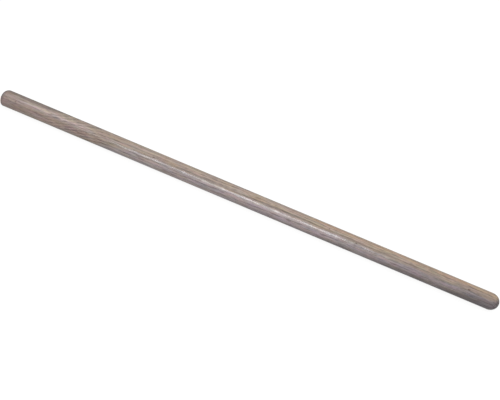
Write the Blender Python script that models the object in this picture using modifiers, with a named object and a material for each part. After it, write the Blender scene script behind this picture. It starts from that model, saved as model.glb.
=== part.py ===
"""A plain wooden pole that a paint roller's frame is pushed onto, to reach further.

It is one turned length of wood, with no ferrule, tip, thread, grip or lock. It lies
along X on the plane z = 0: the roller end at -X, the hand end at +X, and the origin
under its middle.
"""

import math

import bpy
import mathutils

# Driving dimensions, in metres.
LENGTH = 0.900
DIAMETER = 0.029
ROLLER_END_DEPTH = 0.0095
ROLLER_END_FLAT = 0.0064
HAND_END_DEPTH = 0.0157

# Fineness of the turned solid.
SIDES = 32
ROLLER_END_STEPS = 7
HAND_END_STEPS = 10
MERGE_DISTANCE = 0.00001

# Grey-brown wood under a thin satin lacquer.
WOOD_COLOR = (0.33, 0.26, 0.22, 1.0)
WOOD_ROUGHNESS = 0.45
COLLECTION_NAME = "roller_extension_pole"

RADIUS = DIAMETER / 2
# The section is a polygon whose flat sides touch the true circle.
CORNER_RADIUS = RADIUS / math.cos(math.pi / SIDES)


def remove_all_objects():
    for thing in list(bpy.data.objects):
        bpy.data.objects.remove(thing, do_unlink=True)


def wood_material():
    material = bpy.data.materials.new("wood")
    material.use_nodes = True
    shader = material.node_tree.nodes["Principled BSDF"]
    shader.inputs["Base Color"].default_value = WOOD_COLOR
    shader.inputs["Roughness"].default_value = WOOD_ROUGHNESS
    shader.inputs["Metallic"].default_value = 0.0
    return material


def hand_end_points():
    """A full dome, from its apex on the axis down to the straight side."""
    points = []
    for step in range(HAND_END_STEPS + 1):
        angle = 0.5 * math.pi * step / HAND_END_STEPS
        distance_from_axis = CORNER_RADIUS * math.sin(angle)
        height = LENGTH / 2 - HAND_END_DEPTH * (1.0 - math.cos(angle))
        points.append((distance_from_axis, height))
    return points


def roller_end_points():
    """A shallower rounding, from the straight side down to a small sanded flat."""
    flat_angle = math.asin(0.5 * ROLLER_END_FLAT / CORNER_RADIUS)
    # The rounding stops at the flat, so the full curve would end a little past it.
    curve_depth = ROLLER_END_DEPTH / math.cos(flat_angle)
    points = []
    for step in range(ROLLER_END_STEPS + 1):
        share = step / ROLLER_END_STEPS
        angle = 0.5 * math.pi + (flat_angle - 0.5 * math.pi) * share
        distance_from_axis = CORNER_RADIUS * math.sin(angle)
        height = -LENGTH / 2 + ROLLER_END_DEPTH - curve_depth * math.cos(angle)
        points.append((distance_from_axis, height))
    points.append((0.0, -LENGTH / 2))
    return points


def turned_pole(collection):
    """The pole's outline turned about local Z, then laid along X on the ground."""
    outline = hand_end_points() + roller_end_points()
    vertices = [(distance, 0.0, height) for distance, height in outline]
    edges = [(index, index + 1) for index in range(len(vertices) - 1)]
    mesh = bpy.data.meshes.new("wooden_pole")
    mesh.from_pydata(vertices, edges, [])
    pole = bpy.data.objects.new("wooden_pole", mesh)
    collection.objects.link(pole)

    screw = pole.modifiers.new("turned", "SCREW")
    screw.axis = "Z"
    screw.steps = SIDES
    screw.render_steps = SIDES
    screw.use_merge_vertices = True
    screw.merge_threshold = MERGE_DISTANCE
    screw.use_smooth_shade = True

    # Half a side of turn puts a flat side underneath, for the pole to lie on.
    flat_side_down = mathutils.Matrix.Rotation(math.pi / SIDES, 4, "Z")
    along_x = mathutils.Matrix.Rotation(0.5 * math.pi, 4, "Y")
    on_the_ground = mathutils.Matrix.Translation((0.0, 0.0, RADIUS))
    pole.matrix_world = on_the_ground @ along_x @ flat_side_down
    return pole


def main():
    remove_all_objects()
    collection = bpy.data.collections.new(COLLECTION_NAME)
    bpy.context.scene.collection.children.link(collection)
    pole = turned_pole(collection)
    pole.data.materials.append(wood_material())
    bpy.context.view_layer.update()


main()
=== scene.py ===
"""The looks of a plain wooden roller pole: lacquered grey-brown wood, lying on a pale floor.

The pole lies along X, with its roller end at -X and its hand end at +X. All sizes are in
metres and all angles in degrees, unless a name or a comment says otherwise.
"""

import math

import bpy
from mathutils import Matrix, Vector


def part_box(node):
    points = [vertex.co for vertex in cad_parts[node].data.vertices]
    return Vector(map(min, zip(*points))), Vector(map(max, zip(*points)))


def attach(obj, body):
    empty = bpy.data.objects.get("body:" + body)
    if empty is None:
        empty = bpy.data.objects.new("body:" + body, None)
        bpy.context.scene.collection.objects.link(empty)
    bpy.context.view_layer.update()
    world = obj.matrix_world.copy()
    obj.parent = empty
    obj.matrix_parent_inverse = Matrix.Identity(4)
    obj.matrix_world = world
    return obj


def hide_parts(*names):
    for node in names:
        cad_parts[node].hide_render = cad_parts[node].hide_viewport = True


# The rounding of the two ends, as in the CAD model.
ROLLER_END_DEPTH = 0.0095
ROLLER_END_FLAT = 0.0064
HAND_END_DEPTH = 0.0157

# Fineness of the visible surface.
SEGMENTS = 96
RING_SPACING = 0.002
ROUNDING_STEPS = 14

# The turned surface isn't perfect: it is a little out of round and sanded by hand. Its twists
# and waves are in radians per metre, and its offsets in radians.
OUT_OF_ROUND = 0.00005
OVAL_TWIST = 9.0
THREE_SIDED_SHARE = 0.6
THREE_SIDED_TWIST = 14.0
THREE_SIDED_OFFSET = 1.0
SANDING_WAVE = 0.00003
SANDING_WAVES = 150.0
SANDING_SWELLS = 61.0
SANDING_OFFSET = 2.0
# The roller end is rounded less deeply on its lower side, as the photographer sees it, by this
# share of the mean depth. The difference fades out over a short length beyond the rounding.
ROLLER_END_ASKEW = 0.19
ASKEW_FADE = 0.03

# The flattened surface for textures, and its margin as a share of its width.
BAKE_UV = "OFBake"
UV_MARGIN = 0.004

# The photographer's view: a long lens, looking down on the pole, and turned on its side.
CAMERA_DISTANCE = 1.9685
CAMERA_ELEVATION = 42.0
CAMERA_YAW = 3.0
CAMERA_ROLL = 22.79
AIM_SHIFT = -0.0007
AIM_RISE = 0.0005
LENS_MM = 85.0
SENSOR_MM = 36.0

# Two lamps, in watts: one at the camera and a longer one beside it.
FLASH_POWER = 11.4
FLASH_SIZE = (0.16, 0.10)
STRIP_LIGHT_POWER = 11.7
STRIP_LIGHT_SIZE = (0.60, 0.10)
STRIP_LIGHT_OFFSET = 0.40

# A white room that is brighter overhead than at the horizon, and a floor that glows faintly.
WHITE = (1.0, 1.0, 1.0, 1.0)
ROOM_HORIZON = 0.40
ROOM_OVERHEAD = 1.50
ROOM_FULL_LIGHT_AT = 0.6
FLOOR_RADIUS = 12.0
FLOOR_CORNERS = 64
FLOOR_COLOR = (0.12, 0.12, 0.12, 1.0)
FLOOR_ROUGHNESS = 0.9
FLOOR_GLOW = 0.50
# The camera sees the room and the floor as the plain white of a cut-out.
ROOM_SEEN = 1.1
FLOOR_GLOW_SEEN = 0.86

# Colours of the bare wood, as linear red, green and blue.
PALE_WOOD = (0.215, 0.168, 0.136)
LATE_WOOD = (0.088, 0.066, 0.053)
PORE_COLOR = (0.075, 0.055, 0.045)
KNOT_HEART = (0.100, 0.055, 0.038)
KNOT_RIM = (0.042, 0.023, 0.017)
# Tints that multiply a colour.
NO_TINT = (1.0, 1.0, 1.0)
END_GRAIN_TINT = (0.90, 0.90, 0.90)
SLATE_TO_STRAW = ((0.98, 0.99, 1.05), (1.03, 1.02, 0.91))
GREEN_TO_ROSE = ((0.96, 1.02, 1.01), (1.04, 0.97, 1.00))

# Uneven marks and waves: their length and width, how much finer detail they have, and a seed.
BANDS = (0.10, 0.0045, 2.0, 5.0)
STREAKS = (0.040, 0.0021, 3.0, 31.0)
FLECKS = (0.009, 0.0015, 4.0, 37.0)
FIBRES = (0.030, 0.0008, 3.0, 7.0)
HAIRS = (0.012, 0.00028, 2.0, 11.0)
PORES = (0.0045, 0.00022, 0.0, 13.0)
BRUSH_MARKS = (0.009, 0.0026, 1.0, 19.0)
SWELLS = (0.030, 0.006, 1.0, 23.0)
RING_RIPPLES = (0.035, 0.006, 2.0, 3.0)
STRIPE_WAVES = (0.05, 0.006, 3.0, 29.0)
STRAW_MOTTLE = (0.028, 0.005, 2.0, 41.0)
ROSE_MOTTLE = (0.018, 0.004, 2.0, 43.0)

# The growth rings and where they run out of the surface in slanted lines, the flame. Angles
# across the pole count upwards from the side that faces the photographer.
RING_WIDTH = 0.0046
PITH_DISTANCE = 0.040
PITH_ANGLES = (70.0, 100.0)
PITH_CROSSING = (-0.26, 0.10)
FLAME_STRETCH = (-0.42, -0.24)
FLAME_RUN_OUT = 0.036
GRAIN_WANDER = 0.005
GRAIN_WANDER_LENGTH = 0.16
RING_RIPPLE_HEIGHT = 0.0004
# Through one ring, from 0 to 1: where it darkens, and where it turns sharply pale again.
SUMMER_WOOD = (0.25, 0.85)
RING_BOUNDARY = (0.90, 1.0)
# The rings' strength changes from one to the next: how fast, which part of its noise counts,
# and the share of its darkness that a weak ring keeps.
YEAR_CHANGE = 0.8
YEAR_RANGE = (0.35, 0.65)
WEAK_YEAR = 0.4

# How much everything darkens the wood, where 0 is pale wood and 1 is late wood. The rings'
# part changes where they enter and leave the flame, and is greater on the ends.
RINGS_NEAR_ROLLER_END = 0.25
RINGS_IN_FLAME = 0.80
RINGS_ELSEWHERE = 0.55
RINGS_ADDED_ON_ENDS = 0.35
ENTERING_FLAME = (-0.39, -0.33)
LEAVING_FLAME = (-0.28, -0.23)
PLAIN_DARKNESS = 0.12
BAND_DARKNESS = 0.16
STREAK_DARKNESS = 0.46
FLECK_DARKNESS = 0.56
FIBRE_DARKNESS = 0.36
HAIR_DARKNESS = 0.14
# The share of the bands, streaks and flecks that is left on the ends.
LONG_MARKS_ON_ENDS = 0.2
# How much of their own colour the pores show, and which part of their noise makes them.
PORE_STRENGTH = 0.55
PORE_RANGE = (0.75, 1.05)
# Which part of its noise turns one of a mottle's tints into the other.
MOTTLE_RANGE = (-0.7, 0.7)
# End grain shows where the surface faces along X: not at all up to the first share, and
# fully from the second one on.
END_GRAIN_RANGE = (0.25, 0.90)

# Pin knots: where along X, at what angle, and their radius. The first pushes the grain aside.
KNOTS = (
    (0.394, 15.0, 0.0009),
    (-0.421, 0.0, 0.0005),
    (-0.170, 15.0, 0.0006),
    (0.145, 30.0, 0.0005),
    (0.195, 10.0, 0.0006),
)
KNOT_STRETCH = 1.8
KNOT_REACH = 0.012
KNOT_PUSH = 0.0022
KNOT_STRENGTH = 0.9
# Where a knot's pure heart colour ends, and its faded border, in knot radii.
KNOT_HEART_EDGE = 0.3
KNOT_BORDER_EDGE = 1.9
# A knot reaches in from the surface to this share of the pole's radius. Further in, a growing
# distance is added to the one from its axis, up to this much, and so it ends.
KNOT_INNER_END = 0.5
KNOT_ENDING = 0.1

# Long stripes of colour, some the wood's own tone and some painted light and shade, as marked: from
# and to along X, the side they are on, half their width in degrees, and what they do to the colour.
STRIPES_WITH_PAINTED_LIGHT = (
    (-0.43, -0.335, 66.0, 24.0, (0.58, 0.57, 0.60)),
    (-0.60, -0.42, 66.0, 40.0, (0.68, 0.68, 0.70)),
    # Painted highlight: a pale bluish streak that stands in for a lamp's reflection near the roller
    # end.
    (-0.41, -0.28, 22.0, 9.0, (1.33, 1.38, 1.50)),
    (-0.60, -0.26, -20.0, 38.0, (1.06, 1.04, 1.14)),
    # Painted shade: darker along the side that faces the photographer, dimming the lamps' highlight
    # near the roller end.
    (-0.60, -0.27, -3.0, 15.0, (0.81, 0.80, 0.80)),
    (-0.60, -0.41, -50.0, 40.0, (0.82, 0.80, 0.80)),
    (-0.60, -0.38, 22.0, 18.0, (0.93, 0.93, 0.99)),
    (-0.24, 0.60, 66.0, 26.0, (1.07, 1.06, 1.06)),
    (-0.20, 0.30, 34.0, 8.0, (1.16, 1.16, 1.16)),
    (-0.17, 0.34, 17.0, 5.0, (0.84, 0.84, 0.87)),
    # The lower half's bluish grey tone, brightened as painted fill light.
    (-0.26, 0.60, -46.0, 50.0, (1.04, 1.11, 1.38)),
    (-0.26, -0.08, -40.0, 30.0, (1.06, 1.07, 1.04)),
    (-0.10, 0.60, -21.0, 11.0, (1.09, 1.09, 1.10)),
    # Painted shade: darker along the side that faces the photographer, dimming the lamps'
    # highlight.
    (-0.26, -0.08, -4.0, 14.0, (0.84, 0.84, 0.84)),
    # Painted shade: the lower side darker towards the hand end.
    (0.13, 0.60, -66.0, 30.0, (0.79, 0.79, 0.77)),
    # Painted shade: darker along the side that faces the photographer, dimming the lamps' highlight
    # towards the hand end.
    (0.13, 0.60, -2.0, 14.0, (0.88, 0.88, 0.88)),
    # Painted shade: the lower side darker towards the hand end.
    (0.25, 0.60, -36.0, 48.0, (0.79, 0.77, 0.77)),
    # Painted shade: the lower side darkest near the hand end.
    (0.365, 0.60, -46.0, 42.0, (0.69, 0.71, 0.74)),
    (0.12, 0.60, 66.0, 26.0, (1.10, 1.00, 0.88)),
    (0.38, 0.60, 24.0, 14.0, (0.90, 0.89, 0.88)),
)
# Across the pole, in pole radii: how soft their sides are, how much these waver, and how softly
# a stripe stops where the surface turns to the pole's other side.
STRIPE_EDGE = 0.08
STRIPE_WAVER = 0.12
STRIPE_BACK_FADE = 0.3
# Along the pole: how soft their ends are, and how far these lean over one radius.
STRIPE_FADE = 0.016
STRIPE_LEAN = 0.05

# The satin lacquer, and what adds to its roughness and to the height of its surface.
LACQUER_GLOSS = 0.38
LACQUER_ROUGHNESS = 0.30
BRUSH_ROUGHNESS = 0.06
FIBRE_ROUGHNESS = 0.03
END_ROUGHNESS = 0.15
BRUSH_HEIGHT = 0.000040
SWELL_HEIGHT = 0.000070
FIBRE_HEIGHT = 0.000006
RING_HEIGHT = 0.000012
PORE_HEIGHT = -0.000020


# ---------------------------------------------------------------- geometry


def end_outline(depth, radius, first_angle):
    """Points (distance from the tip, radius) of a rounded end, from first_angle to the side."""
    curve_depth = depth / math.cos(first_angle)
    points = []
    for step in range(ROUNDING_STEPS + 1):
        angle = first_angle + (0.5 * math.pi - first_angle) * step / ROUNDING_STEPS
        points.append((depth - curve_depth * math.cos(angle), radius * math.sin(angle)))
    return points


def pole_outline(length, radius):
    """Points (x, radius) from the roller end's flat to the tip of the hand end."""
    flat_angle = math.asin(0.5 * ROLLER_END_FLAT / radius)
    roller_end = end_outline(ROLLER_END_DEPTH, radius, flat_angle)
    roller_end = [(-length / 2 + inward, r) for inward, r in roller_end]
    hand_end = end_outline(HAND_END_DEPTH, radius, 0.0)
    hand_end = [(length / 2 - inward, r) for inward, r in reversed(hand_end)]
    start, stop = roller_end[-1][0], hand_end[0][0]
    count = round((stop - start) / RING_SPACING)
    side = [(start + (stop - start) * i / count, radius) for i in range(1, count)]
    return roller_end + side + hand_end


def surface_height(x, angle):
    """How far the worked surface lies under a true cylinder, as a negative number."""
    oval = 1.0 + math.cos(2.0 * angle + OVAL_TWIST * x)
    three_sided = 1.0 + math.cos(3.0 * angle - THREE_SIDED_TWIST * x + THREE_SIDED_OFFSET)
    waves = math.sin(SANDING_WAVES * x + SANDING_OFFSET * math.sin(angle))
    sanding = 1.0 + waves * math.cos(SANDING_SWELLS * x)
    return -0.5 * (OUT_OF_ROUND * (oval + THREE_SIDED_SHARE * three_sided) + SANDING_WAVE * sanding)


def askew_end(x, angle, tip):
    """Where a ring's point lies along X, once the roller end's uneven rounding is counted."""
    inwards = x - tip
    rounded = min(inwards, ROLLER_END_DEPTH)
    fade = max(0.0, 1.0 - (inwards - rounded) / ASKEW_FADE)
    lower_side = math.radians(CAMERA_ELEVATION)
    return x - ROLLER_END_ASKEW * math.cos(angle - lower_side) * rounded * fade


def pole_vertices(outline, length, radius, axis_height):
    """The middle of the roller end's flat, a ring for each point of the outline, and the tip."""
    vertices = [(outline[0][0], 0.0, axis_height)]
    for x, r in outline[:-1]:
        for segment in range(SEGMENTS):
            angle = 2.0 * math.pi * segment / SEGMENTS
            worked = r + surface_height(x, angle) * r / radius
            y = -worked * math.sin(angle)
            z = axis_height - worked * math.cos(angle)
            vertices.append((askew_end(x, angle, -length / 2), y, z))
    vertices.append((outline[-1][0], 0.0, axis_height))
    return vertices


def pole_faces(rings):
    """A fan of triangles at each end, and four-sided faces between the rings."""

    def index(ring, segment):
        return 1 + ring * SEGMENTS + segment % SEGMENTS

    tip = 1 + rings * SEGMENTS
    faces = []
    for segment in range(SEGMENTS):
        faces.append((0, index(0, segment), index(0, segment + 1)))
    for ring in range(rings - 1):
        for segment in range(SEGMENTS):
            here = index(ring, segment), index(ring, segment + 1)
            there = index(ring + 1, segment), index(ring + 1, segment + 1)
            faces.append((here[0], there[0], there[1], here[1]))
    for segment in range(SEGMENTS):
        faces.append((index(rings - 1, segment), tip, index(rings - 1, segment + 1)))
    return faces


def unwrap(mesh, outline):
    """Lays the surface flat as two strips, one for each half of the pole, cut underneath."""
    profile = [(outline[0][0], 0.0)] + outline
    along = [0.0]
    for before, after in zip(profile, profile[1:]):
        along.append(along[-1] + math.dist(before, after))
    middle = len(along) // 2
    tips = 0, len(mesh.vertices) - 1
    layer = mesh.uv_layers.new(name=BAKE_UV)
    for face in mesh.polygons:
        row, segment = divmod(face.index, SEGMENTS)
        strip = 0 if row < middle else 1
        start, stop = (along[0], along[middle]) if strip == 0 else (along[middle], along[-1])
        for corner, vertex in zip(face.loop_indices, face.vertices):
            ring = 1 + (vertex - 1) // SEGMENTS
            on_next_line = (vertex - 1) % SEGMENTS != segment
            turn = (segment + (0.5 if vertex in tips else on_next_line)) / SEGMENTS
            share = (along[ring] - start) / (stop - start)
            u = UV_MARGIN + share * (1.0 - 2.0 * UV_MARGIN)
            v = 0.5 * strip + UV_MARGIN + turn * (0.5 - 2.0 * UV_MARGIN)
            layer.uv[corner].vector = (u, v)


def make_pole(length, radius, axis_height):
    """The turned pole as one closed mesh, with its seam underneath."""
    outline = pole_outline(length, radius)
    vertices = pole_vertices(outline, length, radius, axis_height)
    mesh = bpy.data.meshes.new("lacquered_pole")
    mesh.from_pydata(vertices, [], pole_faces(len(outline) - 1))
    mesh.validate()
    mesh.shade_smooth()
    unwrap(mesh, outline)
    pole = bpy.data.objects.new("lacquered_pole", mesh)
    bpy.context.scene.collection.objects.link(pole)
    return pole


# ---------------------------------------------------------------- nodes


class Nodes:
    """Short calls that add nodes to one node tree. Most return an output socket."""

    def __init__(self, tree):
        self.tree = tree

    def feed(self, socket, value):
        """Links an output to the socket, or sets a plain number, vector or colour on it."""
        if isinstance(value, bpy.types.NodeSocket):
            self.tree.links.new(value, socket)
        else:
            socket.default_value = value

    def add(self, kind, inputs=(), **settings):
        """A node with the given inputs, by name or by place in the list, and settings."""
        node = self.tree.nodes.new(kind)
        for name, value in settings.items():
            setattr(node, name, value)
        for key, value in dict(inputs).items():
            self.feed(node.inputs[key], value)
        return node

    def math(self, operation, *values):
        return self.add("ShaderNodeMath", enumerate(values), operation=operation).outputs[0]

    def plus(self, *values):
        total = values[0]
        for value in values[1:]:
            total = self.math("ADD", total, value)
        return total

    def times(self, *values):
        product = values[0]
        for value in values[1:]:
            product = self.math("MULTIPLY", product, value)
        return product

    def vector(self, operation, *values):
        node = self.add("ShaderNodeVectorMath", enumerate(values), operation=operation)
        return node.outputs["Value" if operation in ("LENGTH", "DOT_PRODUCT") else "Vector"]

    def ramp(self, value, start, stop, low=0.0, high=1.0):
        """Goes smoothly from low to high while value goes from start to stop."""
        inputs = enumerate((value, start, stop, low, high))
        return self.add("ShaderNodeMapRange", inputs, interpolation_type="SMOOTHSTEP").outputs[0]

    def noise(self, point, length, width, detail=2.0, seed=0.0):
        """A node of noise about 0.5 whose features are that long and wide."""
        stretched = self.vector("MULTIPLY", point, (1 / length, 1 / width, 1 / width))
        inputs = {"Vector": stretched, "W": seed, "Scale": 1.0, "Detail": detail}
        return self.add("ShaderNodeTexNoise", inputs, noise_dimensions="4D")

    def streaks(self, point, length, width, detail, seed):
        """The same noise as a number, mostly from -1 to 1."""
        value = self.noise(point, length, width, detail, seed).outputs[0]
        return self.math("MULTIPLY_ADD", value, 4.0, -2.0)

    def mix(self, factor, first, second, blend_type="MIX"):
        """The first colour or vector at factor 0, and the second, or their product, at 1."""
        inputs = {0: factor, 6: first, 7: second}
        node = self.add("ShaderNodeMix", data_type="RGBA", blend_type=blend_type)
        for key, value in inputs.items():
            self.feed(node.inputs[key], (*value, 1.0) if isinstance(value, tuple) else value)
        return node.outputs[2]

    def tinted(self, color, tint):
        return self.mix(1.0, color, tint, "MULTIPLY")


# ---------------------------------------------------------------- wood


def across_pole(degrees):
    """The unit vector across the pole, so many degrees above the photographer's side."""
    angle = math.radians(CAMERA_ELEVATION + degrees)
    return Vector((0.0, -math.cos(angle), math.sin(angle)))


def offset_towards(nodes, point, degrees):
    """How far a point lies from the pole's axis, measured in that direction across the pole."""
    return nodes.vector("DOT_PRODUCT", point, across_pole(degrees))


def knot_distance(nodes, point, x, radius, knot):
    """Distance from a pin knot's axis, which runs inwards from the surface and soon ends."""
    knot_x, angle, _ = knot
    sideways = offset_towards(nodes, point, angle + 90.0)
    lengthwise = nodes.times(nodes.plus(x, -knot_x), 1.0 / KNOT_STRETCH)
    squares = nodes.plus(nodes.times(sideways, sideways), nodes.times(lengthwise, lengthwise))
    outward = offset_towards(nodes, point, angle)
    ending = nodes.ramp(outward, 0.0, KNOT_INNER_END * radius, KNOT_ENDING, 0.0)
    return nodes.plus(nodes.math("SQRT", squares), ending)


def with_knots(nodes, color, distances):
    """Adds the pin knots: a brown heart in a dark rim."""
    for distance, (_, _, size) in zip(distances, KNOTS):
        out_of_heart = nodes.ramp(distance, KNOT_HEART_EDGE * size, size)
        knot = nodes.mix(out_of_heart, KNOT_HEART, KNOT_RIM)
        shown = nodes.ramp(distance, size, KNOT_BORDER_EDGE * size, KNOT_STRENGTH, 0.0)
        color = nodes.mix(shown, color, knot)
    return color


def growth_rings(nodes, point, x, from_knot):
    """How far from the tree's pith a point lies, counted in growth rings."""
    first, second = [PITH_DISTANCE * across_pole(angle) for angle in PITH_ANGLES]
    pith = nodes.mix(nodes.ramp(x, *PITH_CROSSING), tuple(first), tuple(second))
    lengthwise_only = nodes.vector("MULTIPLY", point, (1.0, 0.0, 0.0))
    drift = nodes.noise(lengthwise_only, GRAIN_WANDER_LENGTH, 1.0).outputs[1]
    wander = nodes.vector("SUBTRACT", drift, (0.5, 0.5, 0.5))
    wandering = nodes.vector("MULTIPLY_ADD", wander, (0.0, GRAIN_WANDER, GRAIN_WANDER), point)
    from_pith = nodes.vector("MULTIPLY", nodes.vector("SUBTRACT", wandering, pith), (0.0, 1.0, 1.0))
    run_out = nodes.ramp(x, *FLAME_STRETCH, -FLAME_RUN_OUT, 0.0)
    around_knot = nodes.ramp(from_knot, 0.0, KNOT_REACH, KNOT_PUSH, 0.0)
    ripple = nodes.times(nodes.streaks(point, *RING_RIPPLES), RING_RIPPLE_HEIGHT)
    distance = nodes.plus(nodes.vector("LENGTH", from_pith), run_out, around_knot, ripple)
    return nodes.math("DIVIDE", distance, RING_WIDTH)


def ring_darkness(nodes, rings):
    """Each ring goes from pale spring wood slowly to dark summer wood, and sharply back."""
    through_ring = nodes.math("FRACT", rings)
    summer = nodes.ramp(through_ring, *SUMMER_WOOD)
    edge = nodes.ramp(through_ring, *RING_BOUNDARY, 1.0, 0.0)
    changing = {"W": nodes.times(rings, YEAR_CHANGE)}
    year = nodes.add("ShaderNodeTexNoise", changing, noise_dimensions="1D").outputs[0]
    return nodes.times(summer, edge, nodes.ramp(year, *YEAR_RANGE, WEAK_YEAR, 1.0))


def ring_contrast(nodes, x, ends):
    """How much the rings show: most in the flame, least before it, and more on the end grain."""
    entering = nodes.ramp(x, *ENTERING_FLAME, RINGS_NEAR_ROLLER_END, RINGS_IN_FLAME)
    leaving = nodes.ramp(x, *LEAVING_FLAME, 0.0, RINGS_ELSEWHERE - RINGS_IN_FLAME)
    return nodes.plus(entering, leaving, nodes.times(ends, RINGS_ADDED_ON_ENDS))


def striped_with_painted_light(nodes, color, point, x, radius):
    """Adds the long stripes, some of them painted highlight and painted shade: slabs from the axis
    outwards, with wavering sides, leaning ends.
    """
    waver = nodes.times(nodes.streaks(point, *STRIPE_WAVES), STRIPE_WAVER)
    for start, stop, angle, half_width, tint in STRIPES_WITH_PAINTED_LIGHT:
        aside = nodes.times(offset_towards(nodes, point, angle + 90.0), 1.0 / radius)
        outward = nodes.times(offset_towards(nodes, point, angle), 1.0 / radius)
        off_middle = nodes.math("ABSOLUTE", nodes.plus(aside, waver))
        half = math.sin(math.radians(half_width))
        leaning = nodes.plus(x, nodes.times(aside, -STRIPE_LEAN))
        inside = nodes.times(
            nodes.ramp(off_middle, half + STRIPE_EDGE, half - STRIPE_EDGE),
            nodes.ramp(outward, -STRIPE_BACK_FADE, STRIPE_BACK_FADE),
            nodes.ramp(leaning, start - STRIPE_FADE, start + STRIPE_FADE),
            nodes.ramp(leaning, stop + STRIPE_FADE, stop - STRIPE_FADE),
        )
        color = nodes.tinted(color, nodes.mix(inside, NO_TINT, tint))
    return color


def mottle(nodes, point):
    """A faint change of hue from place to place, from slate to straw and from green to rose."""
    straw = nodes.ramp(nodes.streaks(point, *STRAW_MOTTLE), *MOTTLE_RANGE)
    rose = nodes.ramp(nodes.streaks(point, *ROSE_MOTTLE), *MOTTLE_RANGE)
    return nodes.tinted(nodes.mix(straw, *SLATE_TO_STRAW), nodes.mix(rose, *GREEN_TO_ROSE))


def end_grain(nodes):
    """One on the ends, where the wood's fibres are cut across, and zero along the side."""
    normal = nodes.add("ShaderNodeTexCoord").outputs["Normal"]
    lengthwise = nodes.add("ShaderNodeSeparateXYZ", {"Vector": normal}).outputs["X"]
    return nodes.ramp(nodes.math("ABSOLUTE", lengthwise), *END_GRAIN_RANGE)


def wood_darkness(nodes, point, x, ends, dark_rings, fibres):
    """How far the grain darkens the wood, from pale wood at 0 to late wood at 1."""
    long_marks = nodes.plus(
        nodes.times(nodes.streaks(point, *BANDS), BAND_DARKNESS),
        nodes.times(nodes.streaks(point, *STREAKS), STREAK_DARKNESS),
        nodes.times(nodes.streaks(point, *FLECKS), FLECK_DARKNESS),
    )
    return nodes.plus(
        PLAIN_DARKNESS,
        nodes.times(dark_rings, ring_contrast(nodes, x, ends)),
        nodes.times(long_marks, nodes.ramp(ends, 0.0, 1.0, 1.0, LONG_MARKS_ON_ENDS)),
        nodes.times(fibres, FIBRE_DARKNESS),
        nodes.times(nodes.streaks(point, *HAIRS), HAIR_DARKNESS),
    )


def lacquered_wood(axis_height, radius):
    material = bpy.data.materials.new("lacquered_wood")
    material.use_nodes = True
    nodes = Nodes(material.node_tree)
    shader = material.node_tree.nodes["Principled BSDF"]
    on_pole = nodes.add("ShaderNodeTexCoord").outputs["Object"]
    point = nodes.vector("SUBTRACT", on_pole, (0.0, 0.0, axis_height))
    x = nodes.add("ShaderNodeSeparateXYZ", {"Vector": point}).outputs["X"]

    ends = end_grain(nodes)
    from_knots = [knot_distance(nodes, point, x, radius, knot) for knot in KNOTS]
    dark_rings = ring_darkness(nodes, growth_rings(nodes, point, x, from_knots[0]))
    fibres = nodes.streaks(point, *FIBRES)
    pores = nodes.ramp(nodes.streaks(point, *PORES), *PORE_RANGE)
    brush_marks = nodes.streaks(point, *BRUSH_MARKS)

    darkness = wood_darkness(nodes, point, x, ends, dark_rings, fibres)
    color = nodes.mix(darkness, PALE_WOOD, LATE_WOOD)
    # The stripes include painted highlight and painted shade.
    color = striped_with_painted_light(nodes, color, point, x, radius)
    color = nodes.tinted(color, mottle(nodes, point))
    color = nodes.mix(nodes.times(pores, PORE_STRENGTH), color, PORE_COLOR)
    color = nodes.mix(ends, color, nodes.tinted(color, END_GRAIN_TINT))
    color = with_knots(nodes, color, from_knots)

    roughness = nodes.plus(
        LACQUER_ROUGHNESS,
        nodes.times(brush_marks, BRUSH_ROUGHNESS),
        nodes.times(fibres, FIBRE_ROUGHNESS),
        nodes.times(ends, END_ROUGHNESS),
    )
    height = nodes.plus(
        nodes.times(brush_marks, BRUSH_HEIGHT),
        nodes.times(nodes.streaks(point, *SWELLS), SWELL_HEIGHT),
        nodes.times(fibres, FIBRE_HEIGHT),
        nodes.times(dark_rings, RING_HEIGHT),
        nodes.times(pores, PORE_HEIGHT),
    )
    bump = nodes.add("ShaderNodeBump", {"Height": height, "Distance": 1.0})
    nodes.feed(shader.inputs["Base Color"], color)
    nodes.feed(shader.inputs["Roughness"], roughness)
    nodes.feed(shader.inputs["Normal"], bump.outputs[0])
    nodes.feed(shader.inputs["Specular IOR Level"], LACQUER_GLOSS)
    return material


# ---------------------------------------------------------------- studio


def photographers_camera(length, axis_height):
    elevation = math.radians(CAMERA_ELEVATION)
    yaw = math.radians(CAMERA_YAW)
    roll = math.radians(CAMERA_ROLL)
    # back points from the pole to the camera.
    across = Vector((0.0, -math.cos(elevation), math.sin(elevation)))
    back = across * math.cos(yaw) + Vector((math.sin(yaw), 0.0, 0.0))
    along = Vector((math.cos(yaw), 0.0, 0.0)) - across * math.sin(yaw)
    upward = back.cross(along)
    right = along * math.cos(roll) + upward * math.sin(roll)
    up = back.cross(right)
    # The near half of the pole looks longer, so the aim moves along it to centre both tips.
    half_length = length / 2
    aim_x = half_length * half_length * math.sin(yaw) / CAMERA_DISTANCE + AIM_SHIFT
    aim = Vector((aim_x, 0.0, axis_height + AIM_RISE))

    data = bpy.data.cameras.new("camera")
    data.lens = LENS_MM
    data.sensor_width = SENSOR_MM
    camera = bpy.data.objects.new("camera", data)
    turn = Matrix((right, up, back)).transposed().to_4x4()
    camera.matrix_world = Matrix.Translation(aim + back * CAMERA_DISTANCE) @ turn
    bpy.context.scene.collection.objects.link(camera)
    bpy.context.scene.camera = camera
    return camera


def area_light(name, place, target, size, power):
    data = bpy.data.lights.new(name, "AREA")
    data.shape = "RECTANGLE"
    data.size, data.size_y = size
    data.energy = power
    light = bpy.data.objects.new(name, data)
    light.location = place
    light.rotation_euler = (target - place).to_track_quat("-Z", "Y").to_euler()
    bpy.context.scene.collection.objects.link(light)


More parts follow.
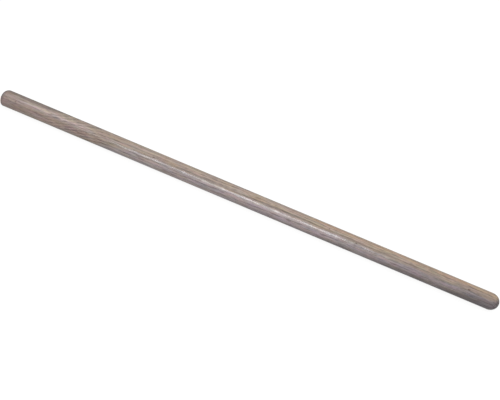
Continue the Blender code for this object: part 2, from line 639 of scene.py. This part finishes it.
def make_lamps(camera):
    middle = Vector((0.0, 0.0, 0.0))
    beside_camera = camera.location - Vector((STRIP_LIGHT_OFFSET, 0.0, 0.0))
    area_light("flash", camera.location, middle, FLASH_SIZE, FLASH_POWER)
    area_light("strip_light", beside_camera, middle, STRIP_LIGHT_SIZE, STRIP_LIGHT_POWER)


def seen_or_cast(nodes, seen, cast):
    """One strength where the camera looks straight at a thing, another where it lights others."""
    looked_at = nodes.add("ShaderNodeLightPath").outputs["Is Camera Ray"]
    return nodes.add("ShaderNodeMix", {0: looked_at, 2: cast, 3: seen}).outputs[0]


def make_room():
    world = bpy.data.worlds.new("room")
    world.use_nodes = True
    nodes = Nodes(world.node_tree)
    direction = nodes.add("ShaderNodeTexCoord").outputs["Generated"]
    height = nodes.add("ShaderNodeSeparateXYZ", {"Vector": direction}).outputs["Z"]
    light = nodes.ramp(height, 0.0, ROOM_FULL_LIGHT_AT, ROOM_HORIZON, ROOM_OVERHEAD)
    background = world.node_tree.nodes["Background"]
    nodes.feed(background.inputs["Color"], WHITE)
    nodes.feed(background.inputs["Strength"], seen_or_cast(nodes, ROOM_SEEN, light))
    bpy.context.scene.world = world


def make_floor():
    bpy.ops.mesh.primitive_circle_add(vertices=FLOOR_CORNERS, radius=FLOOR_RADIUS, fill_type="NGON")
    floor = bpy.context.object
    floor.name = "floor"
    material = bpy.data.materials.new("floor")
    material.use_nodes = True
    nodes = Nodes(material.node_tree)
    shader = material.node_tree.nodes["Principled BSDF"]
    nodes.feed(shader.inputs["Base Color"], FLOOR_COLOR)
    nodes.feed(shader.inputs["Roughness"], FLOOR_ROUGHNESS)
    nodes.feed(shader.inputs["Specular IOR Level"], 0.0)
    nodes.feed(shader.inputs["Emission Color"], WHITE)
    nodes.feed(shader.inputs["Emission Strength"], seen_or_cast(nodes, FLOOR_GLOW_SEEN, FLOOR_GLOW))
    floor.data.materials.append(material)


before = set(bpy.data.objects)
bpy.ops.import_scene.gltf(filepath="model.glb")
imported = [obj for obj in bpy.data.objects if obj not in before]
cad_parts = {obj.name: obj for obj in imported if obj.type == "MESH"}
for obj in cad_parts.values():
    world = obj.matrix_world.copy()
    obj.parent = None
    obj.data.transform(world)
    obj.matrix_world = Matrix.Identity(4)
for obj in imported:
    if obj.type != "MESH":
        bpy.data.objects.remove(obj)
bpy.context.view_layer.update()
low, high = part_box("wooden_pole")
pole_length = high.x - low.x
pole_radius = (high.z - low.z) / 2
pole_axis_height = low.z + pole_radius

pole = make_pole(pole_length, pole_radius, pole_axis_height)
pole.data.materials.append(lacquered_wood(pole_axis_height, pole_radius))
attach(pole, "root")
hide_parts("wooden_pole")

make_room()
make_floor()
make_lamps(photographers_camera(pole_length, pole_axis_height))
bpy.context.scene.view_settings.view_transform = "Standard"
